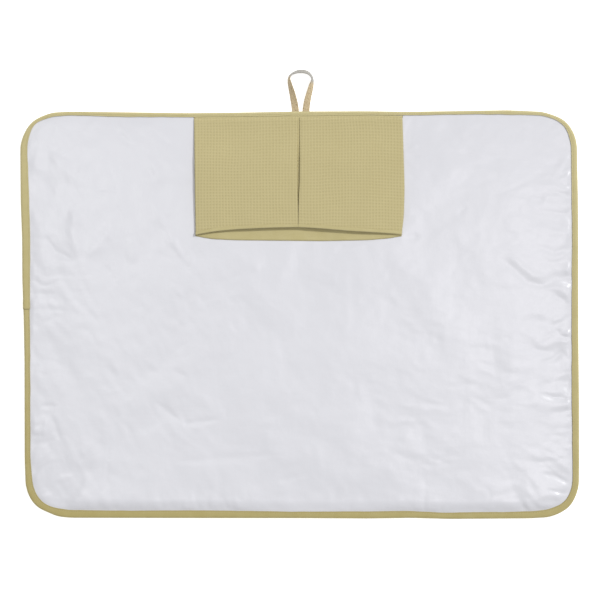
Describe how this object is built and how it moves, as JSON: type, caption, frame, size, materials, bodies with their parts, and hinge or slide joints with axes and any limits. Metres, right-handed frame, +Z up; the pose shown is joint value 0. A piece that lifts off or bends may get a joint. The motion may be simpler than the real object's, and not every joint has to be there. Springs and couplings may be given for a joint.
{
  "type": "changing pad",
  "caption": "Fold-up changing pad: padded mat with bound rounded edge, waffle-weave pocket and hanging loop.",
  "frame": {"origin": "centre of the mat's underside, on the surface that it lies on", "axes": "+X along the mat's length to the right wing, +Y across the mat to the edge with the hanging loop, +Z up out of the top sheet"},
  "size_m": [0.684, 0.5508, 0.0153],
  "materials": {
    "coated_satin": "smooth coated satin, faint lilac white, soft sheen",
    "wadding": "matt fibre wadding",
    "olive_cotton": "matt plain-weave cotton",
    "waffle_weave": "matt waffle-weave cotton, small square cells",
    "beige_tape": "herringbone cotton tape",
    "thread": "polyester sewing thread"
  },
  "bodies": {
    "middle_panel": {"backing_middle": "olive_cotton", "wadding_middle": "wadding", "top_sheet_middle": "coated_satin", "binding_far": "olive_cotton", "binding_near": "olive_cotton", "binding_thread_far": "thread", "binding_thread_near": "thread", "pocket_back": "olive_cotton", "loop_end_left": "beige_tape", "loop_end_right": "beige_tape", "loop_bar_tack": "thread"},
    "left_panel": {"backing_left": "olive_cotton", "wadding_left": "wadding", "top_sheet_left": "coated_satin", "binding_left": "olive_cotton", "binding_thread_left": "thread"},
    "right_panel": {"backing_right": "olive_cotton", "wadding_right": "wadding", "top_sheet_right": "coated_satin", "binding_right": "olive_cotton", "binding_thread_right": "thread"},
    "pocket_front": {"pocket_front_left": "waffle_weave", "pocket_front_right": "waffle_weave", "pocket_pleat": "waffle_weave", "pocket_hem": "olive_cotton"},
    "hanging_loop": {"hanging_loop": "beige_tape"}
  },
  "joints": [
    {"name": "left_fold", "type": "hinge", "parent": "middle_panel", "child": "left_panel", "pos_m": [-0.14, 0, 0.0172], "axis": [0, 1, 0], "range_deg": [0, 179.5]},
    {"name": "right_fold", "type": "hinge", "parent": "middle_panel", "child": "right_panel", "pos_m": [0.14, 0, 0.0221], "axis": [0, -1, 0], "range_deg": [0, 179.5]},
    {"name": "pocket_mouth_lift", "type": "hinge", "parent": "middle_panel", "child": "pocket_front", "pos_m": [-0.0016, 0.2405, 0.0095], "axis": [-1, 0, 0], "range_deg": [0, 4]},
    {"name": "loop_swing", "type": "hinge", "parent": "middle_panel", "child": "hanging_loop", "pos_m": [0.0002, 0.2515, 0.001], "axis": [1, 0, 0], "range_deg": [0, 70]}
  ]
}
